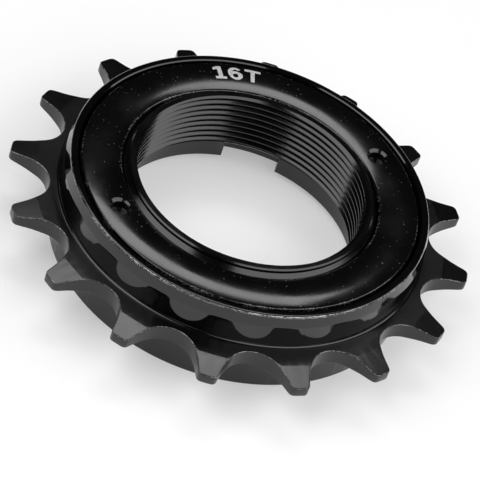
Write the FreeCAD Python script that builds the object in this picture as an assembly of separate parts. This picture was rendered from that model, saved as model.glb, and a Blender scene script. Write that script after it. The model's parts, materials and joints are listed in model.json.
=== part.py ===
import FreeCAD, Part
import math
import os
from FreeCAD import Vector

# Single speed freewheel, millimetres.
# Z is the axis. Z = 0 is the outboard rim of the sprocket barrel, on which the part rests.
# The side that meets the hub shoulder faces +Z. The four remover notches face -Z.

# Chain and teeth
CHAIN_PITCH = 12.7
ROLLER_D = 7.75
ROLLER_ALLOWANCE = 0.27
ROOT_SHOULDER = 1.3
TOOTH_PHASE = 0.92
TOOTH_ADDENDUM = 1.85
TOOTH_MIN_LAND = 1.0
TIP_CORNER_R = 0.75
TIP_T = 1.45
PLATE_T = 2.45
PLATE_DROP = 0.17
TOOTH_BEVEL_LENGTH = 3.9
TOOTH_EDGE_CHAMFER = 0.12

# Sprocket barrel
RIM_WALL = 1.4
RIM_GAP = 0.5
RIM_INNER_CHAMFER = 0.15
BARREL_EDGE_R = 0.35
OUTBOARD_EDGE_R = 0.15
BARREL_FOOT_FILLET = 0.45
STEP_CLEARANCE = 0.3

# Ball rows
BALL_D = 3.175
RACE_CLEARANCE = 0.05
BALL_GAP = 0.06

# Ratchet and pawls
RATCHET_COUNT = 24
RATCHET_W = 3.46
RATCHET_LAND = 0.14
RATCHET_CLEARANCE = 0.3
PAWL_COUNT = 2
PAWL_ANGLE = 45.0
PAWL_SWEEP_SPARE = 0.4
PAWL_PIVOT_R = 1.2
PAWL_PIVOT_PROUD = 0.1
PAWL_TIP_T = 1.3
PAWL_TIP_CLEARANCE = 0.12
PAWL_FACE_GAP = 0.08
PAWL_SIDE_CLEARANCE = 0.1
POCKET_CLEARANCE = 0.05
POCKET_TIP_ROOM = 0.9

# Pawl springs
SPRING_T = 0.2
SPRING_W = 2.2
SPRING_BEND_R = 0.3
SPRING_GAP = 0.04
SPRING_HEEL = 1.5
SPRING_END_BACK = 2.4

# Core: freewheel hub thread of 1.375 inch by 24 threads to the inch
THREAD_MAJOR_D = 34.925
THREAD_PITCH = 1.0583
THREAD_DEPTH_RATIO = 0.5413
THREAD_LENGTH = 8.95
BORE_MOUTH_CHAMFER = 0.3
CORE_RECESS = 1.2
CORE_PROUD = 0.42
CORE_WALL = 2.55
FLANGE_T = 0.8
FLANGE_CHAMFER = 0.25
RELIEF_STEP = 1.41
RELIEF_CHAMFER = 0.15
NECK_WALL = 0.74
NECK_STEP = 0.8
NECK_CHAMFER = 0.2
NECK_DROP = 0.65
NOTCH_COUNT = 4
NOTCH_W = 8.4
NOTCH_DEPTH = 2.8
NOTCH_REACH = 2.3

# Cone ring and shims
RING_OVERHANG = 0.17
RING_THREAD_GAP = 0.03
RING_PROUD = 0.21
RING_WEB = 1.95
RING_INNER_BEVEL = 0.4
RING_OUTER_BEVEL = 0.25
RING_CROWN = 0.3
RING_SKIRT = 0.2
PIN_HOLE_R = 1.3
PIN_HOLE_CHAMFER = 0.4
PIN_HOLE_FLOOR = 0.5
PIN_HOLE_POINT = 0.35
PIN_HOLE_INSET = 2.7
PIN_HOLE_COUNT = 2
PIN_PHASE = 37.4
SHIM_COUNT = 3
SHIM_T = 0.15
SHIM_INSET = 0.42

# Radii that follow, from the bore outwards
BALL_R = BALL_D / 2
RACE_R = BALL_R + RACE_CLEARANCE
THREAD_MAJOR_R = THREAD_MAJOR_D / 2
BORE_R = THREAD_MAJOR_R - THREAD_DEPTH_RATIO * THREAD_PITCH
RELIEF_R = BORE_R + RELIEF_STEP
NOTCH_OUTER_R = RELIEF_R + NOTCH_REACH
NECK_R = THREAD_MAJOR_R + NECK_WALL
RING_SEAT_R = NECK_R + NECK_STEP
RING_BORE_R = RING_SEAT_R + RING_THREAD_GAP
PIN_CIRCLE_R = RING_SEAT_R + PIN_HOLE_INSET
CORE_BODY_R = RING_SEAT_R + CORE_WALL
SHIM_R = CORE_BODY_R - SHIM_INSET
BALL_CIRCLE_R = CORE_BODY_R + RACE_R
CUP_R = BALL_CIRCLE_R + RACE_R
RING_R = CUP_R + RING_OVERHANG
FLANGE_R = RING_R
RIM_BORE_R = RING_R + RIM_GAP
BARREL_R = RIM_BORE_R + RIM_WALL

# Teeth: the smallest whole number whose roller seats clear the barrel
SEAT_R = 0.5025 * ROLLER_D + ROLLER_ALLOWANCE
TOOTH_COUNT = math.ceil(math.pi / math.asin(CHAIN_PITCH / 2 / (BARREL_R + ROOT_SHOULDER + SEAT_R)))
PITCH_R = CHAIN_PITCH / (2 * math.sin(math.pi / TOOTH_COUNT))
ROOT_R = PITCH_R - SEAT_R
TIP_R = PITCH_R + TOOTH_ADDENDUM
TOOTH_BEVEL_START_R = TIP_R - TOOTH_BEVEL_LENGTH

# Heights that follow, from the outboard rim upwards
FLANGE_TOP_Z = CORE_RECESS + FLANGE_T
LOWER_BALL_Z = FLANGE_TOP_Z + RACE_R
RATCHET_LOW_Z = LOWER_BALL_Z + RACE_R
RATCHET_MID_Z = RATCHET_LOW_Z + RATCHET_W / 2
RATCHET_HIGH_Z = RATCHET_LOW_Z + RATCHET_W
UPPER_BALL_Z = RATCHET_HIGH_Z + RACE_R
RING_BOTTOM_Z = UPPER_BALL_Z - RING_SKIRT
CORE_SHOULDER_Z = RING_BOTTOM_Z - SHIM_COUNT * SHIM_T
RING_UNDER_Z = UPPER_BALL_Z + RACE_R
RING_TOP_Z = RING_UNDER_Z + RING_WEB
BARREL_H = RING_TOP_Z - RING_PROUD
CORE_TOP_Z = RING_TOP_Z + CORE_PROUD
THREAD_END_Z = CORE_TOP_Z - THREAD_LENGTH
PLATE_BOTTOM_Z = RATCHET_MID_Z - PLATE_DROP - PLATE_T / 2
PLATE_TOP_Z = PLATE_BOTTOM_Z + PLATE_T

# Ratchet and pawl sizes that follow
RATCHET_TIP_R = CORE_BODY_R + RATCHET_CLEARANCE
RATCHET_ROOT_R = BALL_CIRCLE_R - RATCHET_LAND
RATCHET_STEP = 360.0 / RATCHET_COUNT
PAWL_SWEEP = RATCHET_STEP - PAWL_SWEEP_SPARE
PAWL_H = RATCHET_W - 2 * PAWL_SIDE_CLEARANCE
PAWL_CENTRE_R = CORE_BODY_R + PAWL_PIVOT_PROUD - PAWL_PIVOT_R
PAWL_TIP_R = RATCHET_ROOT_R - PAWL_TIP_CLEARANCE
POCKET_R = PAWL_PIVOT_R + POCKET_CLEARANCE
POCKET_FLOOR = PAWL_CENTRE_R - POCKET_R


def polar(radius, degrees, z=0.0):
    """Point at a radius and an angle round the axis."""
    angle = math.radians(degrees)
    return Vector(radius * math.cos(angle), radius * math.sin(angle), z)


def section(start, *steps):
    """Closed face in the r-z half plane: a step is an end point, or an arc's middle and end."""
    here = Vector(start[0], 0, start[1])
    first = here
    edges = []
    for step in steps:
        points = [Vector(r, 0, z) for r, z in step] if isinstance(step[0], tuple) else [Vector(step[0], 0, step[1])]
        if len(points) == 2:
            edges.append(Part.Arc(here, points[0], points[1]).toShape())
        else:
            edges.append(Part.makeLine(here, points[0]))
        here = points[-1]
    edges.append(Part.makeLine(here, first))
    return Part.Face(Part.Wire(edges))


def turned(start, *steps):
    """Solid of revolution of a section about the axis."""
    return section(start, *steps).revolve(Vector(0, 0, 0), Vector(0, 0, 1), 360)


def on_circle(centre_r, centre_z, radius, degrees):
    """Point of a circle in the r-z half plane."""
    angle = math.radians(degrees)
    return (centre_r + radius * math.cos(angle), centre_z + radius * math.sin(angle))


def prism(wire, low_z, high_z):
    """Upright prism on a flat wire drawn at z = 0."""
    base = Part.Face(wire)
    base.translate(Vector(0, 0, low_z))
    return base.extrude(Vector(0, 0, high_z - low_z))


def turn(shape, degrees):
    """Copy of a shape turned about the axis."""
    copy = shape.copy()
    copy.rotate(Vector(0, 0, 0), Vector(0, 0, 1), degrees)
    return copy


def tooth_points():
    """One side of a tooth space, from the roller seat's bottom to the tip circle.

    This is the standard roller chain tooth form. Its frame has the seated roller's centre at the
    origin and the radial direction along +Y; the tooth is on the -X side.
    """
    half = math.pi / TOOTH_COUNT
    seat_angle = math.radians(35 + 60 / TOOTH_COUNT)
    work_angle = math.radians(18 - 56 / TOOTH_COUNT)
    work_r = 1.3025 * ROLLER_D + ROLLER_ALLOWANCE
    work_x = 0.8 * ROLLER_D * math.cos(seat_angle)
    work_y = 0.8 * ROLLER_D * math.sin(seat_angle)
    end_angle = seat_angle - work_angle
    top_x = -1.4 * ROLLER_D * math.cos(half)
    top_y = -1.4 * ROLLER_D * math.sin(half)
    straight = ROLLER_D * (1.4 * math.sin(math.radians(17 - 64 / TOOTH_COUNT)) - 0.8 * math.sin(work_angle))

    def on_work(angle):
        return (work_x - work_r * math.cos(angle), work_y - work_r * math.sin(angle))

    work_end = on_work(end_angle)
    flank_end = (work_end[0] - straight * math.sin(end_angle), work_end[1] + straight * math.cos(end_angle))
    top_r = math.hypot(flank_end[0] - top_x, flank_end[1] - top_y)
    top_start = math.atan2(flank_end[1] - top_y, flank_end[0] - top_x)

    def on_top(angle):
        return (top_x + top_r * math.cos(angle), top_y + top_r * math.sin(angle))

    def inside(point):
        radius = math.hypot(point[0], point[1] + PITCH_R)
        land = 2 * radius * (half - math.atan2(-point[0], point[1] + PITCH_R))
        return radius < TIP_R and land > TOOTH_MIN_LAND

    low = top_start
    high = math.pi
    while high - low > 1e-9:
        middle = (low + high) / 2
        if inside(on_top(middle)):
            low = middle
        else:
            high = middle
    return {
        "bottom": (0.0, -SEAT_R),
        "seat_end": (-SEAT_R * math.cos(seat_angle), -SEAT_R * math.sin(seat_angle)),
        "work_mid": on_work((seat_angle + end_angle) / 2),
        "work_end": work_end,
        "flank_end": flank_end,
        "top_mid": on_top((top_start + low) / 2),
        "tip": on_top(low),
    }


def tooth_outline():
    """Closed outline of the toothed plate."""
    form = tooth_points()
    step = 360.0 / TOOTH_COUNT
    tip_r = math.hypot(form["tip"][0], form["tip"][1] + PITCH_R)
    edges = []
    for index in range(TOOTH_COUNT):
        seat_angle = TOOTH_PHASE + (index + 0.5) * step

        def place(name, side):
            x, y = form[name]
            radius = math.hypot(x, y + PITCH_R)
            return polar(radius, seat_angle + side * math.degrees(math.atan2(x, y + PITCH_R)))

        edges.append(Part.Arc(place("tip", 1), place("top_mid", 1), place("flank_end", 1)).toShape())
        edges.append(Part.makeLine(place("flank_end", 1), place("work_end", 1)))
        edges.append(Part.Arc(place("work_end", 1), place("work_mid", 1), place("seat_end", 1)).toShape())
        edges.append(Part.Arc(place("seat_end", 1), place("bottom", 1), place("seat_end", -1)).toShape())
        edges.append(Part.Arc(place("seat_end", -1), place("work_mid", -1), place("work_end", -1)).toShape())
        edges.append(Part.makeLine(place("work_end", -1), place("flank_end", -1)))
        edges.append(Part.Arc(place("flank_end", -1), place("top_mid", -1), place("tip", -1)).toShape())
        next_tip = turn(Part.Vertex(place("tip", 1)), step).Point
        crown = polar(tip_r, seat_angle + step / 2)
        edges.append(Part.Arc(place("tip", -1), crown, next_tip).toShape())
    return Part.Wire(edges)


def tooth_plate():
    """Toothed plate: rounded tip corners, broken edges and both faces bevelled towards the tips."""
    plate = prism(tooth_outline(), PLATE_BOTTOM_Z, PLATE_TOP_Z)
    tip_r = math.hypot(*plate.Vertexes[0].Point[:2])
    corners = [edge for edge in plate.Edges
               if abs(edge.Vertexes[0].Z - edge.Vertexes[-1].Z) > PLATE_T / 2
               and math.hypot(edge.Vertexes[0].X, edge.Vertexes[0].Y) > tip_r - TOOTH_EDGE_CHAMFER]
    plate = plate.makeFillet(TIP_CORNER_R, corners)
    rims = [edge for edge in plate.Edges if edge.BoundBox.ZLength < TOOTH_EDGE_CHAMFER]
    plate = plate.makeChamfer(TOOTH_EDGE_CHAMFER, rims)
    reach = TIP_R + PLATE_T
    slope = (PLATE_T - TIP_T) / 2 / TOOTH_BEVEL_LENGTH
    drop = slope * (reach - TOOTH_BEVEL_START_R)
    envelope = turned((BARREL_R, PLATE_BOTTOM_Z),
                      (TOOTH_BEVEL_START_R, PLATE_BOTTOM_Z),
                      (reach, PLATE_BOTTOM_Z + drop),
                      (reach, PLATE_TOP_Z - drop),
                      (TOOTH_BEVEL_START_R, PLATE_TOP_Z),
                      (BARREL_R, PLATE_TOP_Z))
    return plate.common(envelope)


def barrel():
    """Sprocket barrel with both ball cups and a plain ring where the ratchet is cut."""
    foot_r = BARREL_R + BARREL_FOOT_FILLET
    hub_disc_r = (foot_r + ROOT_R - TOOTH_EDGE_CHAMFER) / 2
    step = RIM_BORE_R - CUP_R
    low_step_z = FLANGE_TOP_Z + STEP_CLEARANCE
    high_step_z = RING_UNDER_Z - STEP_CLEARANCE
    edge_mid = BARREL_EDGE_R * (1 - math.sqrt(0.5))
    outboard_mid = OUTBOARD_EDGE_R * (1 - math.sqrt(0.5))
    foot_mid = BARREL_FOOT_FILLET * (1 - math.sqrt(0.5))
    return turned((RIM_BORE_R + RIM_INNER_CHAMFER, 0),
                  (RIM_BORE_R, RIM_INNER_CHAMFER),
                  (RIM_BORE_R, low_step_z),
                  (CUP_R, low_step_z + step),
                  (CUP_R, LOWER_BALL_Z),
                  (on_circle(BALL_CIRCLE_R, LOWER_BALL_Z, RACE_R, 45), (BALL_CIRCLE_R, RATCHET_LOW_Z)),
                  (RATCHET_TIP_R, RATCHET_LOW_Z),
                  (RATCHET_TIP_R, RATCHET_HIGH_Z),
                  (BALL_CIRCLE_R, RATCHET_HIGH_Z),
                  (on_circle(BALL_CIRCLE_R, UPPER_BALL_Z, RACE_R, -45), (CUP_R, UPPER_BALL_Z)),
                  (CUP_R, high_step_z - step),
                  (RIM_BORE_R, high_step_z),
                  (RIM_BORE_R, BARREL_H - RIM_INNER_CHAMFER),
                  (RIM_BORE_R + RIM_INNER_CHAMFER, BARREL_H),
                  (BARREL_R - BARREL_EDGE_R, BARREL_H),
                  ((BARREL_R - edge_mid, BARREL_H - edge_mid), (BARREL_R, BARREL_H - BARREL_EDGE_R)),
                  (BARREL_R, PLATE_TOP_Z + BARREL_FOOT_FILLET),
                  ((BARREL_R + foot_mid, PLATE_TOP_Z + foot_mid), (foot_r, PLATE_TOP_Z)),
                  (hub_disc_r, PLATE_TOP_Z),
                  (hub_disc_r, PLATE_BOTTOM_Z),
                  (foot_r, PLATE_BOTTOM_Z),
                  ((BARREL_R + foot_mid, PLATE_BOTTOM_Z - foot_mid), (BARREL_R, PLATE_BOTTOM_Z - BARREL_FOOT_FILLET)),
                  (BARREL_R, OUTBOARD_EDGE_R),
                  ((BARREL_R - outboard_mid, outboard_mid), (BARREL_R - OUTBOARD_EDGE_R, 0)))


def ratchet_face_angle(radius):
    """Angle of the steep face before the pawl's pivot: square to the pawl, so the pawl swings past it."""
    reach = (pawl_tip(PAWL_TIP_R) - pawl_pivot()).Length + PAWL_FACE_GAP
    cosine = (radius ** 2 + PAWL_CENTRE_R ** 2 - reach ** 2) / (2 * radius * PAWL_CENTRE_R)
    return math.degrees(math.acos(cosine))


def ratchet_space():
    """Saw-toothed hollow: steep faces look along the driving direction, ramps fall away behind them."""
    points = []
    for index in range(RATCHET_COUNT):
        angle = PAWL_ANGLE + index * RATCHET_STEP
        points.append(polar(RATCHET_TIP_R, angle - ratchet_face_angle(RATCHET_TIP_R)))
        points.append(polar(RATCHET_ROOT_R, angle - ratchet_face_angle(RATCHET_ROOT_R)))
    outline = Part.makePolygon(points + [points[0]])
    return prism(outline, RATCHET_LOW_Z, RATCHET_HIGH_Z)


def sprocket():
    """Sprocket, one piece with its ball cups and ratchet ring."""
    body = barrel().fuse(tooth_plate()).removeSplitter()
    return body.cut(ratchet_space())


def pawl_angles():
    """Pawls evenly spread, each on a whole number of ratchet steps from the first."""
    spread = round(RATCHET_COUNT / PAWL_COUNT) * RATCHET_STEP
    return [PAWL_ANGLE + index * spread for index in range(PAWL_COUNT)]


def pawl_pivot():
    """Pivot centre of the pawl that lies on +X."""
    return Vector(PAWL_CENTRE_R, 0, 0)


def pawl_tip(radius):
    """Point of the pawl on +X at the angle where its tip reaches."""
    return polar(radius, -PAWL_SWEEP)


def pawl_under_tip():
    """Inner corner of the pawl's end face, as far from the pivot as its outer corner."""
    arm = pawl_tip(PAWL_TIP_R) - pawl_pivot()
    swing = 2 * math.asin(PAWL_TIP_T / 2 / arm.Length)
    return pawl_pivot() + Vector(arm.x * math.cos(swing) + arm.y * math.sin(swing),
                                 arm.y * math.cos(swing) - arm.x * math.sin(swing), 0)


def pawl():
    """Pawl with its pivot on +X, engaged, its end face against a ratchet tooth."""
    outline = Part.makePolygon([pawl_tip(PAWL_TIP_R),
                                pawl_under_tip(),
                                Vector(PAWL_CENTRE_R - PAWL_PIVOT_R, 0, 0),
                                Vector(PAWL_CENTRE_R + PAWL_PIVOT_R, 0, 0),
                                pawl_tip(PAWL_TIP_R)])
    low_z = RATCHET_MID_Z - PAWL_H / 2
    arm = prism(outline, low_z, low_z + PAWL_H)
    pivot = Part.makeCylinder(PAWL_PIVOT_R, PAWL_H, Vector(PAWL_CENTRE_R, 0, low_z))
    return arm.fuse(pivot).removeSplitter()


def pocket():
    """Milled pocket for a pawl and its spring, with a round seat at the pivot end."""
    end_y = pawl_tip(PAWL_TIP_R).y - POCKET_TIP_ROOM
    mouth = RATCHET_ROOT_R
    outline = Part.makePolygon([Vector(POCKET_FLOOR, 0, 0),
                                Vector(POCKET_FLOOR, end_y, 0),
                                Vector(mouth, end_y, 0),
                                Vector(mouth, 0, 0),
                                Vector(POCKET_FLOOR, 0, 0)])
    height = PAWL_H + 2 * POCKET_CLEARANCE
    low_z = RATCHET_MID_Z - height / 2
    slot = prism(outline, low_z, low_z + height)
    seat = Part.makeCylinder(POCKET_R, height, Vector(PAWL_CENTRE_R, 0, low_z))
    return slot.fuse(seat)


def pawl_spring():
    """Folded strip spring between the pocket floor and the underside of the pawl on +X."""
    half_t = SPRING_T / 2
    floor_x = POCKET_FLOOR + SPRING_GAP + half_t
    bend_y = pawl_tip(PAWL_TIP_R).y + SPRING_BEND_R
    heel = Vector(floor_x, -SPRING_HEEL, 0)
    bend_start = Vector(floor_x, bend_y, 0)
    bend_mid = Vector(floor_x + SPRING_BEND_R, bend_y - SPRING_BEND_R, 0)
    bend_end = Vector(floor_x + 2 * SPRING_BEND_R, bend_y, 0)
    under_tip = pawl_under_tip()
    under_root = Vector(PAWL_CENTRE_R - PAWL_PIVOT_R, 0, 0)
    along = (under_root - under_tip).normalize()
    inward = Vector(-abs(along.y), along.x if along.y > 0 else -along.x, 0)
    touch = under_tip + along * SPRING_END_BACK + inward * (half_t + SPRING_GAP)
    path = Part.Wire([Part.makeLine(heel, bend_start),
                      Part.Arc(bend_start, bend_mid, bend_end).toShape(),
                      Part.makeLine(bend_end, touch)])
    strip = path.makeOffset2D(half_t, join=0, fill=False, openResult=False, intersection=False)
    low_z = RATCHET_MID_Z - SPRING_W / 2
    return prism(strip, low_z, low_z + SPRING_W)


def notch():
    """Remover notch on +X, cut up from the outboard face and out of the bore."""
    top_z = CORE_RECESS + NOTCH_DEPTH
    slab = Part.makeBox(NOTCH_OUTER_R, NOTCH_W, top_z, Vector(0, -NOTCH_W / 2, 0))
    limit = Part.makeCylinder(NOTCH_OUTER_R, top_z)
    return slab.common(limit)


def core():
    """Threaded core with its lower ball race, pawl pockets and remover notches."""
    neck_low_z = CORE_TOP_Z - NECK_DROP
    body = turned((RELIEF_R, CORE_RECESS + RELIEF_CHAMFER),
                  (RELIEF_R + RELIEF_CHAMFER, CORE_RECESS),
                  (FLANGE_R - FLANGE_CHAMFER, CORE_RECESS),
                  (FLANGE_R, CORE_RECESS + FLANGE_CHAMFER),
                  (FLANGE_R, FLANGE_TOP_Z),
                  (BALL_CIRCLE_R, FLANGE_TOP_Z),
                  (on_circle(BALL_CIRCLE_R, LOWER_BALL_Z, RACE_R, 225), (CORE_BODY_R, LOWER_BALL_Z)),
                  (CORE_BODY_R, CORE_SHOULDER_Z),
                  (RING_SEAT_R, CORE_SHOULDER_Z),
                  (RING_SEAT_R, neck_low_z - NECK_STEP),
                  (NECK_R, neck_low_z),
                  (NECK_R, CORE_TOP_Z - NECK_CHAMFER),
                  (NECK_R - NECK_CHAMFER, CORE_TOP_Z),
                  (BORE_R + BORE_MOUTH_CHAMFER, CORE_TOP_Z),
                  (BORE_R, CORE_TOP_Z - BORE_MOUTH_CHAMFER),
                  (BORE_R, THREAD_END_Z),
                  (RELIEF_R, THREAD_END_Z - RELIEF_STEP))
    for angle in pawl_angles():
        body = body.cut(turn(pocket(), angle))
    for index in range(NOTCH_COUNT):
        body = body.cut(turn(notch(), index * 360.0 / NOTCH_COUNT))
    return body


def pin_hole():
    """Blind pin spanner hole on +X with a chamfered mouth."""
    bottom_z = RING_UNDER_Z + PIN_HOLE_FLOOR
    mouth_z = RING_TOP_Z
    above_z = RING_TOP_Z + PIN_HOLE_R
    wide_r = PIN_HOLE_R + PIN_HOLE_CHAMFER
    tool = turned((0, bottom_z - PIN_HOLE_POINT),
                  (PIN_HOLE_R, bottom_z),
                  (PIN_HOLE_R, mouth_z - PIN_HOLE_CHAMFER),
                  (wide_r, mouth_z),
                  (wide_r, above_z),
                  (0, above_z))
    tool.translate(Vector(PIN_CIRCLE_R, 0, 0))
    return tool


def cone_ring():
    """Screwed bearing cone with a crowned face, the upper ball race and two pin spanner holes."""
    face_in = RING_BORE_R + RING_INNER_BEVEL
    face_out = RING_R - RING_OUTER_BEVEL
    edge_z = RING_TOP_Z - RING_CROWN
    ring = turned((RING_BORE_R, RING_BOTTOM_Z),
                  (CORE_BODY_R, RING_BOTTOM_Z),
                  (CORE_BODY_R, UPPER_BALL_Z),
                  (on_circle(BALL_CIRCLE_R, UPPER_BALL_Z, RACE_R, 135), (BALL_CIRCLE_R, RING_UNDER_Z)),
                  (RING_R, RING_UNDER_Z),
                  (RING_R, edge_z - RING_OUTER_BEVEL),
                  (face_out, edge_z),
                  (((face_in + face_out) / 2, RING_TOP_Z), (face_in, edge_z)),
                  (RING_BORE_R, edge_z - RING_INNER_BEVEL))
    for index in range(PIN_HOLE_COUNT):
        ring = ring.cut(turn(pin_hole(), PIN_PHASE + index * 360.0 / PIN_HOLE_COUNT))
    return ring


def shim(index):
    """One thin adjusting washer of the stack under the cone ring."""
    low_z = CORE_SHOULDER_Z + index * SHIM_T
    blank = Part.makeCylinder(SHIM_R, SHIM_T, Vector(0, 0, low_z))
    return blank.cut(Part.makeCylinder(RING_BORE_R, SHIM_T, Vector(0, 0, low_z)))


def ball_row(z):
    """Full row of loose bearing balls, one short of a tight ring."""
    spacing = 2 * math.degrees(math.asin((BALL_R + BALL_GAP / 2) / BALL_CIRCLE_R))
    count = int(360.0 / spacing) - 1
    balls = []
    for index in range(count):
        balls.append(Part.makeSphere(BALL_R, polar(BALL_CIRCLE_R, index * 360.0 / count, z)))
    return Part.makeCompound(balls)


def save(name, shape):
    shape.exportStep("parts/" + name + ".step")


def main():
    os.makedirs("parts", exist_ok=True)
    save("sprocket", sprocket())
    save("core", core())
    save("cone_ring", cone_ring())
    for index in range(SHIM_COUNT):
        save("shim_" + str(index + 1), shim(index))
    for index, angle in enumerate(pawl_angles()):
        save("pawl_" + str(index + 1), turn(pawl(), angle))
        save("pawl_spring_" + str(index + 1), turn(pawl_spring(), angle))
    save("lower_balls", ball_row(LOWER_BALL_Z))
    save("upper_balls", ball_row(UPPER_BALL_Z))


main()
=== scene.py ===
import json
import math

import bmesh
import bpy
from mathutils import Matrix, Vector


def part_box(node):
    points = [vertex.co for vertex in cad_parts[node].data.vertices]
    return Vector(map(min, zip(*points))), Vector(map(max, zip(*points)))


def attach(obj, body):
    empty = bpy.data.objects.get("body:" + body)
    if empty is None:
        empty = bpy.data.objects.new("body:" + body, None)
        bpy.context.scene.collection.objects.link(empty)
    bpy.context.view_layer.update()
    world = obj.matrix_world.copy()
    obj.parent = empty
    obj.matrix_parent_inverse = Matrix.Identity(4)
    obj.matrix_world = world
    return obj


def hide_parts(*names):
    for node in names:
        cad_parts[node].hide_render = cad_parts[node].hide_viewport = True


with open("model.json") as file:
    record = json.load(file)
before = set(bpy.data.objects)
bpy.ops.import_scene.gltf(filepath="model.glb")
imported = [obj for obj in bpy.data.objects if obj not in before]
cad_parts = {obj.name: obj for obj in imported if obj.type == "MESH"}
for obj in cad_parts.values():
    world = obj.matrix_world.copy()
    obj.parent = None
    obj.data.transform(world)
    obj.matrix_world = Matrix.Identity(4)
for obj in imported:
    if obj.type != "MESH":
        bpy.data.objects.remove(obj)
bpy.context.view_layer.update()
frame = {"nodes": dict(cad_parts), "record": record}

MM = 0.001

# Sizes read from the frame
mounts = {mount["name"]: mount for mount in frame["record"]["mounts"]}
BORE_R = mounts["hub_thread"]["dims"]["r_mm"] * MM
CORE_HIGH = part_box("core")[1].z
RING_R, _, RING_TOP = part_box("cone_ring")[1]
BARREL_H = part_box("sprocket")[1].z
RING_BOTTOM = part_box("cone_ring")[0].z
UPPER_BALL_Z = sum(corner.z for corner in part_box("upper_balls")) / 2
LOWER_BALL_Z = sum(corner.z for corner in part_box("lower_balls")) / 2
BALL_R = (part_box("upper_balls")[1].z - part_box("upper_balls")[0].z) / 2

# Teeth: roller chain form on a half inch pitch
TOOTH_COUNT = 16
CHAIN_PITCH = 12.7 * MM
ROLLER_D = 7.75 * MM
ROLLER_ALLOWANCE = 0.27 * MM
TOOTH_PHASE = math.radians(0.92)
TOOTH_ADDENDUM = 1.85 * MM
TIP_CORNER_R = 0.75 * MM
TIP_T = 1.45 * MM
PLATE_T = 2.45 * MM
PLATE_TOP = 8.06 * MM
TOOTH_BEVEL_LENGTH = 3.9 * MM
TOOTH_EDGE = 0.12 * MM
TOOTH_CREASE = 0.04 * MM
SEAT_R = 0.5025 * ROLLER_D + ROLLER_ALLOWANCE
WORKING_CURVE_R = 1.3025 * ROLLER_D + ROLLER_ALLOWANCE
WORKING_CENTRE = 0.8 * ROLLER_D
TOP_CURVE_CENTRE = 1.4 * ROLLER_D
SEAT_ANGLE = math.radians(35 + 60 / TOOTH_COUNT)
WORKING_ANGLE = math.radians(18 - 56 / TOOTH_COUNT)
TOP_CURVE_ANGLE = math.radians(17 - 64 / TOOTH_COUNT)
PITCH_R = CHAIN_PITCH / (2 * math.sin(math.pi / TOOTH_COUNT))
TIP_R = PITCH_R + TOOTH_ADDENDUM
BEVEL_START_R = TIP_R - TOOTH_BEVEL_LENGTH
PLATE_BOTTOM = PLATE_TOP - PLATE_T

# Share of wear on the tooth plate's rows, from its flat face over the edge to the mid plane
TOOTH_EDGE_WEAR = [0, 0, 0, 0, 0.3, 0.8, 1, 0.4, 0]

# Barrel, bearing and ratchet
RIM_WALL = 1.4 * MM
RIM_GAP = 0.5 * MM
RIM_CHAMFER = 0.15 * MM
BARREL_EDGE_R = 0.35 * MM
OUTBOARD_EDGE_R = 0.15 * MM
FOOT_FILLET = 0.45 * MM
STEP_CLEARANCE = 0.3 * MM
RACE_CLEARANCE = 0.05 * MM
RING_OVERHANG = 0.17 * MM
RING_WEB = 1.95 * MM
RING_CROWN = 0.3 * MM
RING_INNER_BEVEL = 0.4 * MM
RING_OUTER_BEVEL = 0.25 * MM
RING_THREAD_GAP = 0.03 * MM
RING_WEAR = 0.5
CORE_WALL = 2.55 * MM
FLANGE_TOP = 2.0 * MM
RATCHET_CLEARANCE = 0.3 * MM
RATCHET_LAND = 0.14 * MM
PIN_HOLE_R = 1.3 * MM
PIN_HOLE_CHAMFER = 0.4 * MM
PIN_HOLE_FLOOR = 0.5 * MM
PIN_HOLE_POINT = 0.35 * MM
PIN_HOLE_INSET = 2.7 * MM
PIN_PHASE = math.radians(37.4)
RACE_R = BALL_R + RACE_CLEARANCE
CUP_R = RING_R - RING_OVERHANG
BALL_CIRCLE_R = CUP_R - RACE_R
CORE_BODY_R = BALL_CIRCLE_R - RACE_R
RING_SEAT_R = CORE_BODY_R - CORE_WALL
RING_BORE_R = RING_SEAT_R + RING_THREAD_GAP
RIM_BORE_R = RING_R + RIM_GAP
BARREL_R = RIM_BORE_R + RIM_WALL

# The barrel's wall tapers in a little above this height, after a short bend
WALL_TAPER_START = 11.7 * MM
WALL_TAPER_BEND_R = 1.6 * MM
WALL_TAPER = 13
WALL_BULGE = 0.1 * MM

# Mark on the cone ring
MARK_HEIGHT = 2.8 * MM
MARK_SPACE = 0.13
MARK_RADIUS = 22.75 * MM
MARK_ANGLE = math.radians(104.5)
MARK_LIFT = 0.012 * MM
MARK_GRID = 0.25 * MM

# Hub thread: 1.375 inch by 24 threads to the inch
THREAD_PITCH = 25.4 / 24 * MM
THREAD_LENGTH = 8.95 * MM
THREAD_DEPTH = 0.5413 * THREAD_PITCH
THREAD_CREST = THREAD_PITCH / 8
THREAD_ROOT = THREAD_PITCH / 4
THREAD_STEPS = 96

# Steps along curves, and tolerances
RING_STEPS = 256
SEAT_STEPS = 7
TOP_CURVE_STEPS = 5
TIP_STEPS = 3
EDGE_STEPS = 6
SMALL_EDGE_STEPS = 4
BEND_STEPS = 5
RACE_STEPS = 8
CROWN_STEPS = 24
PIN_HOLE_STEPS = 40
SPROCKET_SMOOTH = 35
RING_SMOOTH = 24
CORE_SMOOTH = 28
SAME_PLACE = 1e-8
HEIGHT_TOLERANCE = 1e-6
RADIUS_TOLERANCE = 3e-6

# Camera: a long lens above the outboard corner, as in the photograph
CAMERA_TARGET = Vector((0.74, -6.38, 8.055)) * MM
CAMERA_DISTANCE = 501.35 * MM
CAMERA_AZIMUTH = math.radians(-95.11)
CAMERA_ELEVATION = math.radians(42.10)
CAMERA_ROLL = math.radians(20.18)
CAMERA_LENS = 262.66
CAMERA_SENSOR = 36.0

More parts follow.
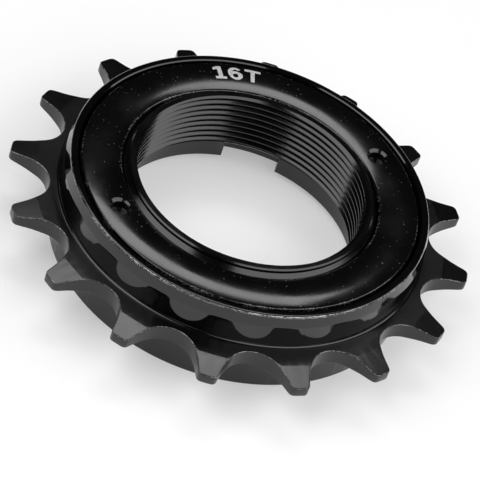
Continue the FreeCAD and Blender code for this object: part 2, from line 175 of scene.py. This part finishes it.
# Light: share of the floor that shows as plain white, and the world's level for shading and for reflections
FLOOR_GLOW = 0.35
FLOOR_HALF = 3
WORLD_SHADING = 0.14
WORLD_REFLECTED = 0.012

# Softboxes: turn from the camera's azimuth and elevation in degrees, distance, width and height in metres,
# and radiance
SOFTBOXES = (("left_box", -66, 52, 1.0, 0.95, 0.8, 2.5),
             ("right_box", 70, 44, 1.0, 2.0, 0.7, 2.2),
             ("far_box", 193, 58.5, 1.0, 0.60, 0.24, 4.0))

# Coating: tones, gloss, and how finely its noises are drawn, per metre
COAT_DARK = 0.001
COAT_LIGHT = 0.003
COAT_IOR = 1.58
SMEAR_SCALE = 140.0
PEEL_SCALE = 1300.0
PEEL_DEPTH = 0.0025 * MM
GRAIN_SCALE = 3600.0
GRAIN_TONE = 0.012
SATIN_BLEND = 0.3 * MM
TURNING_SCALE = 9000.0
TURNING_SPREAD = 3.0
DUST_SCALE = 3100.0
DUST_TONE = 0.22
DUST_START = 0.80
DUST_BLEND = 0.03
CHIP_SCALE = 4200.0
PATCH_SCALE = 260.0
WORN_START = 0.90
WORN_FULL = 1.01
WORN_TONE = 0.35
WORN_METAL = 0.8


class Shader:
    """Small helper that adds and links shader nodes in one tree."""

    def __init__(self, name):
        self.material = bpy.data.materials.new(name)
        self.material.use_nodes = True
        self.tree = self.material.node_tree
        self.tree.nodes.clear()
        self.out = self.tree.nodes.new("ShaderNodeOutputMaterial")
        self.bsdf = self.tree.nodes.new("ShaderNodeBsdfPrincipled")
        self.link(self.bsdf.outputs["BSDF"], self.out.inputs["Surface"])
        self.place = self.tree.nodes.new("ShaderNodeTexCoord").outputs["Object"]

    def link(self, a, b):
        self.tree.links.new(a, b)

    def node(self, kind, **values):
        node = self.tree.nodes.new(kind)
        for key, value in values.items():
            setattr(node, key, value)
        return node

    def put(self, socket, value):
        if isinstance(value, bpy.types.NodeSocket):
            self.link(value, socket)
        else:
            socket.default_value = value

    def set(self, **values):
        """Values on the surface shader's own sockets."""
        for key, value in values.items():
            self.put(self.bsdf.inputs[key.replace("_", " ")], value)

    def math(self, operation, a, b=0.0):
        node = self.node("ShaderNodeMath", operation=operation)
        self.put(node.inputs[0], a)
        self.put(node.inputs[1], b)
        return node.outputs[0]

    def noise(self, scale, detail=2.0, roughness=0.5, vector=None):
        node = self.node("ShaderNodeTexNoise")
        self.link(vector or self.place, node.inputs["Vector"])
        node.inputs["Scale"].default_value = scale
        node.inputs["Detail"].default_value = detail
        node.inputs["Roughness"].default_value = roughness
        return node.outputs["Fac"]

    def ramp(self, value, low, high, to_low=0.0, to_high=1.0):
        node = self.node("ShaderNodeMapRange", clamp=True, interpolation_type="SMOOTHSTEP")
        self.put(node.inputs["Value"], value)
        for name, number in (("From Min", low), ("From Max", high), ("To Min", to_low), ("To Max", to_high)):
            node.inputs[name].default_value = number
        return node.outputs["Result"]

    def mix(self, factor, a, b):
        node = self.node("ShaderNodeMix", data_type="RGBA")
        self.put(node.inputs["Factor"], factor)
        self.put(node.inputs[6], a)
        self.put(node.inputs[7], b)
        return node.outputs[2]

    def bump(self, height, distance, normal=None):
        node = self.node("ShaderNodeBump")
        node.inputs["Strength"].default_value = 1.0
        node.inputs["Distance"].default_value = distance
        self.link(height, node.inputs["Height"])
        if normal is not None:
            self.link(normal, node.inputs["Normal"])
        return node.outputs["Normal"]

    def round_axis(self):
        """Radius, height and angle sockets about the part's axis."""
        split = self.node("ShaderNodeSeparateXYZ")
        self.link(self.place, split.inputs[0])
        x, y, z = split.outputs
        squares = self.math("ADD", self.math("MULTIPLY", x, x), self.math("MULTIPLY", y, y))
        return self.math("SQRT", squares), z, self.math("ARCTAN2", y, x)

    def vector(self, x, y, z=0.0):
        node = self.node("ShaderNodeCombineXYZ")
        for index, value in enumerate((x, y, z)):
            self.put(node.inputs[index], value)
        return node.outputs[0]


def grey(value):
    return (value, value, value, 1)


def gloss_black(name, roughness, satin=None, dust_share=0.0, turning_depth=0.0):
    """Gloss black coating on turned steel: orange peel, turning lines, dust and edges worn bright.

    The satin values are a radius and the roughness beyond it.
    """
    shader = Shader(name)
    radius, height, angle = shader.round_axis()
    smear = shader.noise(SMEAR_SCALE, 3.0, 0.55)
    colour = shader.mix(smear, grey(COAT_DARK), grey(COAT_LIGHT))
    rough = shader.ramp(smear, 0.3, 0.7, roughness * 0.8, roughness * 1.25)
    normal = shader.bump(shader.noise(PEEL_SCALE, 2.0, 0.5), PEEL_DEPTH)
    if satin:
        outside = shader.ramp(radius, satin[0], satin[0] + SATIN_BLEND)
        rough = shader.math("ADD", rough, shader.math("MULTIPLY", outside, satin[1] - roughness))
        grain = shader.ramp(shader.noise(GRAIN_SCALE, 3.0, 0.6), 0.5, 0.75, 0.0, 0.5)
        colour = shader.mix(shader.math("MULTIPLY", outside, grain), colour, grey(GRAIN_TONE))
    if turning_depth:
        across = shader.vector(shader.math("MULTIPLY", radius, TURNING_SCALE),
                               shader.math("MULTIPLY", angle, TURNING_SPREAD),
                               shader.math("MULTIPLY", height, TURNING_SCALE))
        normal = shader.bump(shader.noise(1.0, 2.0, 0.6, across), turning_depth, normal)
    if dust_share:
        dust = shader.ramp(shader.noise(DUST_SCALE, 1.0, 0.4), DUST_START - dust_share,
                           DUST_START + DUST_BLEND - dust_share, 0.0, 0.5)
        colour = shader.mix(dust, colour, grey(DUST_TONE))
        rough = shader.math("ADD", rough, shader.math("MULTIPLY", dust, 0.6))
    edge = shader.node("ShaderNodeAttribute", attribute_name="wear").outputs["Fac"]
    chips = shader.noise(CHIP_SCALE, 3.0, 0.65)
    patches = shader.math("MULTIPLY", shader.noise(PATCH_SCALE, 2.0, 0.5), 0.5)
    worn = shader.math("ADD", chips, shader.math("ADD", patches, shader.math("MULTIPLY", edge, 0.2)))
    worn = shader.math("MULTIPLY", shader.ramp(worn, WORN_START, WORN_FULL), edge)
    colour = shader.mix(worn, colour, grey(WORN_TONE))
    rough = shader.math("ADD", rough, shader.math("MULTIPLY", worn, 0.2))
    shader.set(Base_Color=colour, Roughness=rough, Normal=normal, IOR=COAT_IOR,
               Metallic=shader.math("MULTIPLY", worn, WORN_METAL))
    return shader.material


def steel(name, colour, roughness, scratch):
    """Bare steel with fine scratches and a slight change of colour."""
    shader = Shader(name)
    tone = shader.noise(400.0, 3.0, 0.6)
    dark = tuple(0.8 * channel for channel in colour) + (1,)
    shader.set(Base_Color=shader.mix(tone, dark, tuple(colour) + (1,)), Metallic=1.0,
               Roughness=shader.ramp(tone, 0.3, 0.7, roughness * 0.8, roughness * 1.2),
               Normal=shader.bump(shader.noise(scratch, 2.0, 0.6), 0.002 * MM))
    return shader.material


def etched(name):
    """Pale etched mark with a speckled tone."""
    shader = Shader(name)
    speckle = shader.noise(5200.0, 2.0, 0.6)
    shader.set(Base_Color=shader.mix(shader.ramp(speckle, 0.35, 0.65), grey(0.34), grey(0.62)), Roughness=0.5,
               Normal=shader.bump(speckle, 0.004 * MM))
    return shader.material


def dress(obj, material):
    obj.data.materials.clear()
    obj.data.materials.append(material)


def add_mesh(name, vertices, faces):
    mesh = bpy.data.meshes.new(name)
    mesh.from_pydata(vertices, [], faces)
    mesh.validate()
    obj = bpy.data.objects.new(name, mesh)
    bpy.context.scene.collection.objects.link(obj)
    return obj


def face_outwards(obj):
    work = bmesh.new()
    work.from_mesh(obj.data)
    bmesh.ops.recalc_face_normals(work, faces=work.faces)
    work.to_mesh(obj.data)
    work.free()


def loft(name, rows, wear):
    """Closed skin on rows of points, each with its share of wear: the last row joins the first."""
    count = len(rows[0])
    vertices = [point for row in rows for point in row]
    faces = []
    for i in range(len(rows)):
        for j in range(count):
            k = (i + 1) % len(rows)
            n = (j + 1) % count
            faces.append((i * count + j, i * count + n, k * count + n, k * count + j))
    obj = add_mesh(name, vertices, faces)
    worn = obj.data.attributes.new("wear", "FLOAT", "POINT")
    worn.data.foreach_set("value", [share for share in wear for _ in range(count)])
    face_outwards(obj)
    return obj


def arc(centre, radius, start, end, steps):
    """Points (r, z) on an arc between two angles in degrees, both ends included."""
    points = []
    for step in range(steps + 1):
        angle = math.radians(start + (end - start) * step / steps)
        points.append((centre[0] + radius * math.cos(angle), centre[1] + radius * math.sin(angle)))
    return points


def turned(name, profile, wear):
    """Ring with a closed profile of (r, z) points."""
    turns = [2 * math.pi * step / RING_STEPS for step in range(RING_STEPS)]
    return loft(name, [[(r * math.cos(a), r * math.sin(a), z) for a in turns] for r, z in profile], wear)


def prism(name, outline, low, high):
    """Upright prism on a plan outline of (x, y) points."""
    count = len(outline)
    vertices = [(x, y, low) for x, y in outline] + [(x, y, high) for x, y in outline]
    faces = [tuple(range(count)), tuple(range(2 * count - 1, count - 1, -1))]
    for i in range(count):
        n = (i + 1) % count
        faces.append((i, n, n + count, i + count))
    obj = add_mesh(name, vertices, faces)
    face_outwards(obj)
    return obj


def cut(obj, *cutters):
    """Cuts tools away from a piece for good, and deletes the tools."""
    for tool in cutters:
        change = obj.modifiers.new("cut", "BOOLEAN")
        change.operation = "DIFFERENCE"
        change.solver = "EXACT"
        change.object = tool
    graph = bpy.context.evaluated_depsgraph_get()
    obj.data = bpy.data.meshes.new_from_object(obj.evaluated_get(graph))
    obj.modifiers.clear()
    for tool in cutters:
        bpy.data.objects.remove(tool)


def shade(obj, degrees):
    """Smooth shading, sharp where faces meet at more than an angle, with flat faces kept flat."""
    limit = math.radians(degrees)
    work = bmesh.new()
    work.from_mesh(obj.data)
    bmesh.ops.remove_doubles(work, verts=work.verts, dist=SAME_PLACE)
    for face in work.faces:
        face.smooth = True
    for edge in work.edges:
        edge.smooth = len(edge.link_faces) == 2 and edge.calc_face_angle(0.0) < limit
    work.to_mesh(obj.data)
    work.free()
    weighted = obj.modifiers.new("normals", "WEIGHTED_NORMAL")
    weighted.keep_sharp = True


def stand_for(obj, node, body, material):
    dress(obj, material)
    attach(obj, body)
    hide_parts(node)


def tooth_half():
    """Half of a tooth's outline as (radius, angle from the seat's middle), from seat to tip."""
    half = math.pi / TOOTH_COUNT
    work = (WORKING_CENTRE * math.cos(SEAT_ANGLE), WORKING_CENTRE * math.sin(SEAT_ANGLE))
    straight = TOP_CURVE_CENTRE * math.sin(TOP_CURVE_ANGLE) - WORKING_CENTRE * math.sin(WORKING_ANGLE)
    top = (-TOP_CURVE_CENTRE * math.cos(half), -TOP_CURVE_CENTRE * math.sin(half))
    end_angle = SEAT_ANGLE - WORKING_ANGLE
    seat_end = 180 + math.degrees(SEAT_ANGLE)
    points = arc((0, 0), SEAT_R, -90, seat_end - 360, SEAT_STEPS)
    points += arc(work, WORKING_CURVE_R, seat_end, 180 + math.degrees(end_angle), TIP_STEPS)[1:]
    x, y = points[-1]
    flank = (x - straight * math.sin(end_angle), y + straight * math.cos(end_angle))
    top_r = math.hypot(flank[0] - top[0], flank[1] - top[1])
    points.append(flank)

    # Corner centre: as far inside the top curve as inside the tip circle
    axis = (0, -PITCH_R)
    a = top_r - TIP_CORNER_R
    b = TIP_R - TIP_CORNER_R
    gap = math.hypot(top[0] - axis[0], top[1] - axis[1])
    along = (b * b - a * a + gap * gap) / (2 * gap)
    side = math.sqrt(b * b - along * along)
    ux, uy = (top[0] - axis[0]) / gap, (top[1] - axis[1]) / gap
    corner = (axis[0] + along * ux + side * uy, axis[1] + along * uy - side * ux)
    start = math.degrees(math.atan2(flank[1] - top[1], flank[0] - top[0]))
    leave = math.degrees(math.atan2(corner[1] - top[1], corner[0] - top[0]))
    meet = math.degrees(math.atan2(corner[1] - axis[1], corner[0] - axis[0]))
    points += arc(top, top_r, start, leave, TOP_CURVE_STEPS)[1:]
    points += arc(corner, TIP_CORNER_R, leave, meet, EDGE_STEPS)[1:]
    polar = [(math.hypot(x, y + PITCH_R), math.atan2(-x, y + PITCH_R)) for x, y in points]
    last = polar[-1][1]
    polar += [(TIP_R, last + (half - last) * step / TIP_STEPS) for step in range(1, TIP_STEPS + 1)]
    return polar


def tooth_outline():
    """Plan outline of the toothed plate as (x, y) points, evenly the same on every tooth."""
    half = tooth_half()
    step = 2 * math.pi / TOOTH_COUNT
    one = [(r, step - a) for r, a in half[1:-1]][::-1]
    pitch = half + one
    points = []
    for index in range(TOOTH_COUNT):
        seat = TOOTH_PHASE + (index + 0.5) * step
        points += [(r * math.cos(seat + a), r * math.sin(seat + a)) for r, a in pitch]
    return points


def plate_rows(outline, foot_r):
    """Rows of the toothed plate from its lower foot round the teeth's edge to its upper foot."""
    count = len(outline)
    slope = (PLATE_T - TIP_T) / 2 / TOOTH_BEVEL_LENGTH

    def row(inset, radius_limit, rise):
        """Loop at an inset from the outline, no further out than a limit, and its rise from the mid plane."""
        loop = []
        for i, (x, y) in enumerate(outline):
            ahead, behind = outline[(i + 1) % count], outline[i - 1]
            tx, ty = ahead[0] - behind[0], ahead[1] - behind[1]
            length = math.hypot(tx, ty)
            px, py = x - inset * ty / length, y + inset * tx / length
            radius = math.hypot(px, py)
            keep = min(radius, max(radius_limit, foot_r)) / radius if radius_limit else 1
            over = max(0.0, radius * keep - BEVEL_START_R) * slope
            loop.append((px * keep, py * keep, rise - over))
        return loop

    half_t = PLATE_T / 2
    root_r = PITCH_R - SEAT_R
    flat_inset = 2.2 * TOOTH_EDGE
    upper = [row(flat_inset, (foot_r + root_r) / 2, half_t),
             row(flat_inset, BEVEL_START_R - TOOTH_CREASE, half_t),
             row(flat_inset, BEVEL_START_R + TOOTH_CREASE, half_t),
             row(1.8 * TOOTH_EDGE, 0, half_t),
             row(TOOTH_EDGE, 0, half_t)]
    for degrees in (22.5, 45, 67.5, 90):
        a = math.radians(degrees)
        upper.append(row(TOOTH_EDGE * (1 - math.sin(a)), 0, half_t - TOOTH_EDGE * (1 - math.cos(a))))
    middle = (PLATE_TOP + PLATE_BOTTOM) / 2
    top_rows = [[(x, y, middle + z) for x, y, z in loop] for loop in upper]
    low_rows = [[(x, y, middle - z) for x, y, z in loop] for loop in upper]
    return low_rows + top_rows[::-1], TOOTH_EDGE_WEAR + TOOTH_EDGE_WEAR[::-1]


def ratchet_tool():
    """Saw-toothed hollow, read off the plain CAD node: its corners lie on two circles."""
    tip_r = CORE_BODY_R + RATCHET_CLEARANCE
    root_r = BALL_CIRCLE_R - RATCHET_LAND
    low = LOWER_BALL_Z + RACE_R
    high = UPPER_BALL_Z - RACE_R
    found = {}
    for vertex in frame["nodes"]["sprocket"].data.vertices:
        x, y, z = vertex.co
        radius = math.hypot(x, y)
        between = low - HEIGHT_TOLERANCE < z < high + HEIGHT_TOLERANCE
        if between and min(abs(radius - tip_r), abs(radius - root_r)) < RADIUS_TOLERANCE:
            found[round(math.atan2(y, x), 4)] = (x, y)
    outline = [found[key] for key in sorted(found)]
    return prism("ratchet_tool", outline, low - RATCHET_CLEARANCE, high + RATCHET_CLEARANCE)


def barrel_profile(foot_r):
    """Profile of the barrel from its upper foot through the inside to its lower foot, with shares of wear."""
    wall_r = BARREL_R + WALL_BULGE
    step = RIM_BORE_R - CUP_R
    low_step = FLANGE_TOP + STEP_CLEARANCE
    high_step = RING_TOP - RING_WEB - STEP_CLEARANCE
    ratchet_low = LOWER_BALL_Z + RACE_R
    ratchet_high = UPPER_BALL_Z - RACE_R
    ratchet_r = CORE_BODY_R + RATCHET_CLEARANCE
    upper = arc((foot_r, PLATE_TOP + FOOT_FILLET), FOOT_FILLET, 270, 180, EDGE_STEPS)
    bend = arc((wall_r - WALL_TAPER_BEND_R, WALL_TAPER_START), WALL_TAPER_BEND_R, 0, WALL_TAPER, BEND_STEPS)
    upper += bend
    taper = math.radians(WALL_TAPER)
    end_z = BARREL_H - BARREL_EDGE_R
    rise = end_z + BARREL_EDGE_R * math.sin(taper) - bend[-1][1]
    end_r = bend[-1][0] - rise * math.tan(taper) - BARREL_EDGE_R * math.cos(taper)
    rim = arc((end_r, end_z), BARREL_EDGE_R, WALL_TAPER, 90, EDGE_STEPS)
    upper += [(rim[0][0] + TOOTH_EDGE * math.tan(taper), rim[0][1] - TOOTH_EDGE)] + rim
    upper += [(RIM_BORE_R + RIM_CHAMFER, BARREL_H), (RIM_BORE_R, BARREL_H - RIM_CHAMFER),
              (RIM_BORE_R, high_step), (CUP_R, high_step - step)]
    upper += arc((BALL_CIRCLE_R, UPPER_BALL_Z), RACE_R, 0, -90, RACE_STEPS)
    upper += [(ratchet_r, ratchet_high), (ratchet_r, ratchet_low)]
    lower = arc((BALL_CIRCLE_R, LOWER_BALL_Z), RACE_R, 90, 0, RACE_STEPS)
    lower += [(CUP_R, low_step + step), (RIM_BORE_R, low_step), (RIM_BORE_R, RIM_CHAMFER),
              (RIM_BORE_R + RIM_CHAMFER, 0)]
    lower += arc((BARREL_R - OUTBOARD_EDGE_R, OUTBOARD_EDGE_R), OUTBOARD_EDGE_R, -90, 0, SMALL_EDGE_STEPS)
    lower += arc((foot_r, PLATE_BOTTOM - FOOT_FILLET), FOOT_FILLET, 180, 90, EDGE_STEPS)
    worn_low = BARREL_H - 0.9 * BARREL_EDGE_R
    worn_high = BARREL_H - 0.2 * BARREL_EDGE_R
    profile = upper + lower
    wear = [1.0 if worn_low < z < worn_high and r > RIM_BORE_R + RIM_CHAMFER else 0.0 for r, z in profile]
    return profile, wear


def sprocket_piece(material):
    """Sprocket with its teeth, barrel, ball cups and ratchet, finer than the plain node."""
    outline = tooth_outline()
    angles = [math.atan2(y, x) for x, y in outline]
    foot_r = BARREL_R + WALL_BULGE + FOOT_FILLET
    profile, wear = barrel_profile(foot_r)
    rows = [[(r * math.cos(a), r * math.sin(a), z) for a in angles] for r, z in profile]
    plate, plate_wear = plate_rows(outline, foot_r)
    piece = loft("sprocket_toothed", rows + plate, wear + plate_wear)
    cut(piece, ratchet_tool())
    shade(piece, SPROCKET_SMOOTH)
    stand_for(piece, "sprocket", "sprocket", material)


def crown():
    """Inner and outer edge, middle, radius and centre height of the cone ring's crowned face."""
    face_in = RING_BORE_R + RING_INNER_BEVEL
    face_out = RING_R - RING_OUTER_BEVEL
    half = (face_out - face_in) / 2
    arc_r = (half * half + RING_CROWN * RING_CROWN) / (2 * RING_CROWN)
    return face_in, face_out, (face_in + face_out) / 2, arc_r, RING_TOP - arc_r


def ring_profile():
    """Closed profile of the cone ring, with a share of wear at each of its points."""
    face_in, face_out, middle, arc_r, centre_z = crown()
    spread = math.degrees(math.asin((face_out - middle) / arc_r))
    edge_z = RING_TOP - RING_CROWN
    profile = [(RING_BORE_R, RING_BOTTOM), (CORE_BODY_R, RING_BOTTOM)]
    profile += arc((BALL_CIRCLE_R, UPPER_BALL_Z), RACE_R, 180, 90, RACE_STEPS)
    profile += [(RING_R, RING_TOP - RING_WEB)]
    profile += arc((face_out, edge_z - RING_OUTER_BEVEL), RING_OUTER_BEVEL, 0, 60, SMALL_EDGE_STEPS)
    profile += arc((middle, centre_z), arc_r, 90 - spread, 90 + spread, CROWN_STEPS)
    profile += arc((face_in, edge_z - RING_INNER_BEVEL), RING_INNER_BEVEL, 115, 180, SMALL_EDGE_STEPS)
    worn_low = edge_z - RING_INNER_BEVEL
    wear = [RING_WEAR if z > worn_low and not face_in <= r <= face_out else 0.0 for r, z in profile]
    return profile, wear


def pin_hole_tool(angle):
    """Drill for one blind pin spanner hole with its chamfered mouth."""
    circle_r = RING_SEAT_R + PIN_HOLE_INSET
    bottom = RING_TOP - RING_WEB + PIN_HOLE_FLOOR
    mouth = RING_TOP
    wide_r = PIN_HOLE_R + PIN_HOLE_CHAMFER
    levels = [(PIN_HOLE_R, bottom), (PIN_HOLE_R, mouth - PIN_HOLE_CHAMFER),
              (wide_r, mouth), (wide_r, mouth + MM)]
    steps = PIN_HOLE_STEPS
    x, y = circle_r * math.cos(angle), circle_r * math.sin(angle)
    vertices = [(x, y, bottom - PIN_HOLE_POINT)]
    faces = []
    for r, z in levels:
        for step in range(steps):
            a = 2 * math.pi * step / steps
            vertices.append((x + r * math.cos(a), y + r * math.sin(a), z))
    for step in range(steps):
        after = (step + 1) % steps
        faces.append((0, 1 + after, 1 + step))
        for level in range(len(levels) - 1):
            base = 1 + level * steps
            faces.append((base + step, base + after, base + steps + after, base + steps + step))
    faces.append(tuple(1 + (len(levels) - 1) * steps + step for step in range(steps)))
    tool = add_mesh("pin_hole_tool", vertices, faces)
    face_outwards(tool)
    return tool


def ring_piece(material):
    """Cone ring with its crowned face and two blind holes."""
    piece = turned("cone_ring_crowned", *ring_profile())
    cut(piece, pin_hole_tool(PIN_PHASE), pin_hole_tool(PIN_PHASE + math.pi))
    shade(piece, RING_SMOOTH)
    stand_for(piece, "cone_ring", "core", material)


def thread_tool():
    """Helical V groove tool, right hand, from above the core's mouth to the thread's end."""
    turns = math.ceil((THREAD_LENGTH + 2 * THREAD_PITCH) / THREAD_PITCH)
    start = CORE_HIGH + THREAD_PITCH
    inner = BORE_R - THREAD_DEPTH
    outer = BORE_R + THREAD_DEPTH
    half_mouth = (THREAD_PITCH - THREAD_CREST) / 2
    half_root = THREAD_ROOT / 4
    profile = ((inner, -half_mouth), (BORE_R, -half_mouth), (outer, -half_root),
               (outer, half_root), (BORE_R, half_mouth), (inner, half_mouth))
    vertices = []
    faces = []
    total = turns * THREAD_STEPS
    for step in range(total + 1):
        angle = -step * 2 * math.pi / THREAD_STEPS
        z = start - step * THREAD_PITCH / THREAD_STEPS
        for radius, dz in profile:
            vertices.append((radius * math.cos(angle), radius * math.sin(angle), z + dz))
    n = len(profile)
    for step in range(total):
        for k in range(n):
            a = step * n + k
            b = step * n + (k + 1) % n
            faces.append((a, b, b + n, a + n))
    faces.append(tuple(range(n)))
    faces.append(tuple(total * n + k for k in reversed(range(n))))
    tool = add_mesh("thread_tool", vertices, faces)
    face_outwards(tool)
    return tool


def core_piece(material):
    """The core with its hub thread cut, in place of the plain-bored one."""
    piece = bpy.data.objects.new("core_threaded", frame["nodes"]["core"].data.copy())
    bpy.context.scene.collection.objects.link(piece)
    cut(piece, thread_tool())
    shade(piece, CORE_SMOOTH)
    stand_for(piece, "core", "core", material)


def oval(x, y, rx, ry, start, end, steps=16):
    """Points on an oval between two angles in degrees."""
    return [(x + rx * u, y + ry * v) for u, v in arc((0, 0), 1, start, end, steps)]


def glyphs():
    """Outlines of the figures one and six and the letter T, one unit high, with their widths."""
    one = [(0.04, 0), (0.68, 0), (0.68, 0.17), (0.48, 0.17), (0.48, 1), (0.28, 1), (0.02, 0.87), (0.02, 0.67),
           (0.24, 0.76), (0.24, 0.17), (0.04, 0.17)]
    six = oval(0.40, 0.5, 0.40, 0.5, 42, 270)
    six += oval(0.40, 0.33, 0.40, 0.33, -90, 122)
    six += oval(0.43, 0.5, 0.20, 0.31, 160, 48)
    tee = [(0, 1), (0.84, 1), (0.84, 0.8), (0.53, 0.8), (0.53, 0), (0.31, 0), (0.31, 0.8), (0, 0.8)]
    return ([one], 0.68), ([six, oval(0.40, 0.32, 0.16, 0.15, 0, 337.5, 15)], 0.80), ([tee], 0.84)


def add_mark(material):
    """Tooth count mark laid on the crowned face, its tops outwards."""
    text = bpy.data.curves.new("mark_outline", "CURVE")
    text.dimensions = "2D"
    text.fill_mode = "BOTH"
    total = sum(width for _, width in glyphs()) + 2 * MARK_SPACE
    left = -total / 2
    for loops, width in glyphs():
        for points in loops:
            spline = text.splines.new("POLY")
            spline.points.add(len(points) - 1)
            for place, (x, y) in zip(spline.points, points):
                place.co = ((left + x) * MARK_HEIGHT, (y - 0.5) * MARK_HEIGHT, 0, 1)
            spline.use_cyclic_u = True
        left += width + MARK_SPACE
    flat = bpy.data.objects.new("mark_outline", text)
    bpy.context.scene.collection.objects.link(flat)
    graph = bpy.context.evaluated_depsgraph_get()
    mesh = bpy.data.meshes.new_from_object(flat.evaluated_get(graph))
    bpy.data.objects.remove(flat)
    work = bmesh.new()
    work.from_mesh(mesh)
    for axis in (0, 1):
        places = [vertex.co[axis] for vertex in work.verts]
        for step in range(1, int((max(places) - min(places)) / MARK_GRID) + 1):
            place = [0, 0, 0]
            place[axis] = min(places) + step * MARK_GRID
            direction = [0, 0, 0]
            direction[axis] = 1
            parts = work.verts[:] + work.edges[:] + work.faces[:]
            bmesh.ops.bisect_plane(work, geom=parts, plane_co=place, plane_no=direction, dist=SAME_PLACE)
    _, _, middle, arc_r, centre_z = crown()
    for vertex in work.verts:
        radius = MARK_RADIUS + vertex.co.y
        angle = MARK_ANGLE - vertex.co.x / MARK_RADIUS
        z = centre_z + math.sqrt(arc_r ** 2 - (radius - middle) ** 2) + MARK_LIFT
        vertex.co = (radius * math.cos(angle), radius * math.sin(angle), z)
    work.to_mesh(mesh)
    work.free()
    mark = bpy.data.objects.new("mark", mesh)
    bpy.context.scene.collection.objects.link(mark)
    dress(mark, material)
    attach(mark, "core")


def add_camera():
    """Camera from its target, distance, azimuth, elevation and roll."""
    away = Vector((math.cos(CAMERA_ELEVATION) * math.cos(CAMERA_AZIMUTH),
                   math.cos(CAMERA_ELEVATION) * math.sin(CAMERA_AZIMUTH),
                   math.sin(CAMERA_ELEVATION)))
    level = Vector((-math.sin(CAMERA_AZIMUTH), math.cos(CAMERA_AZIMUTH), 0))
    upright = away.cross(level)
    right = level * math.cos(CAMERA_ROLL) + upright * math.sin(CAMERA_ROLL)
    up = away.cross(right)
    data = bpy.data.cameras.new("camera")
    data.lens = CAMERA_LENS
    data.sensor_width = CAMERA_SENSOR
    data.sensor_fit = "HORIZONTAL"
    data.clip_start = 0.01
    data.clip_end = 50
    camera = bpy.data.objects.new("camera", data)
    turn = Matrix((right, up, away)).transposed()
    camera.matrix_world = Matrix.Translation(CAMERA_TARGET + away * CAMERA_DISTANCE) @ turn.to_4x4()
    bpy.context.scene.collection.objects.link(camera)
    bpy.context.scene.camera = camera


def add_floor():
    """White floor: it keeps a share of its shading, so that the part's shadow shows."""
    corners = [(x * FLOOR_HALF, y * FLOOR_HALF, 0) for x, y in ((-1, -1), (1, -1), (1, 1), (-1, 1))]
    floor = add_mesh("floor", corners, [(0, 1, 2, 3)])
    shader = Shader("floor_white")
    shader.set(Base_Color=grey(0.98), Roughness=0.7)
    path = shader.node("ShaderNodeLightPath")
    glow = shader.node("ShaderNodeEmission")
    blend = shader.node("ShaderNodeMixShader")
    seen = shader.math("MAXIMUM", path.outputs["Is Camera Ray"], path.outputs["Is Glossy Ray"])
    shader.link(shader.math("MULTIPLY", seen, FLOOR_GLOW), blend.inputs[0])
    shader.link(shader.bsdf.outputs["BSDF"], blend.inputs[1])
    shader.link(glow.outputs[0], blend.inputs[2])
    shader.link(blend.outputs[0], shader.out.inputs["Surface"])
    dress(floor, shader.material)


def add_softbox(name, turn, elevation, distance, width, height, radiance):
    """Area light facing the part, turned from the camera's azimuth by so many degrees."""
    data = bpy.data.lights.new(name, "AREA")
    data.shape = "RECTANGLE"
    data.size = width
    data.size_y = height
    data.energy = radiance * math.pi * width * height
    light = bpy.data.objects.new(name, data)
    a = CAMERA_AZIMUTH + math.radians(turn)
    e = math.radians(elevation)
    away = Vector((math.cos(e) * math.cos(a), math.cos(e) * math.sin(a), math.sin(e)))
    light.location = away * distance
    light.rotation_euler = away.to_track_quat("Z", "Y").to_euler()
    bpy.context.scene.collection.objects.link(light)


def add_world():
    """White behind the part, dim in its reflections."""
    world = bpy.data.worlds.new("studio")
    bpy.context.scene.world = world
    world.use_nodes = True
    tree = world.node_tree
    tree.nodes.clear()
    out = tree.nodes.new("ShaderNodeOutputWorld")
    background = tree.nodes.new("ShaderNodeBackground")
    path = tree.nodes.new("ShaderNodeLightPath")
    tree.links.new(background.outputs[0], out.inputs[0])

    def choose(factor, if_not, if_so):
        node = tree.nodes.new("ShaderNodeMix")
        tree.links.new(path.outputs[factor], node.inputs["Factor"])
        node.inputs["B"].default_value = if_so
        if isinstance(if_not, float):
            node.inputs["A"].default_value = if_not
        else:
            tree.links.new(if_not, node.inputs["A"])
        return node.outputs["Result"]

    level = choose("Is Glossy Ray", WORLD_SHADING, WORLD_REFLECTED)
    level = choose("Is Camera Ray", level, 1.0)
    tree.links.new(level, background.inputs["Strength"])


bpy.context.scene.view_settings.view_transform = "Standard"
sprocket_piece(gloss_black("sprocket_black", 0.07, (BARREL_R + 0.2 * MM, 0.22)))
ring_piece(gloss_black("ring_black", 0.15, None, 0.055, 0.0006 * MM))
core_piece(gloss_black("core_black", 0.14))
add_mark(etched("mark_grey"))
finishes = {"pawl_spring": steel("bright_steel", (0.55, 0.55, 0.56), 0.3, 5000.0),
            "pawl": steel("hardened_steel", (0.32, 0.31, 0.30), 0.35, 3000.0),
            "balls": steel("bearing_steel", (0.62, 0.62, 0.64), 0.12, 2000.0)}
finishes["shim"] = finishes["pawl_spring"]
for name, node in frame["nodes"].items():
    for part, material in finishes.items():
        if part in name:
            dress(node, material)
            break

add_camera()
add_floor()
for softbox in SOFTBOXES:
    add_softbox(*softbox)
add_world()
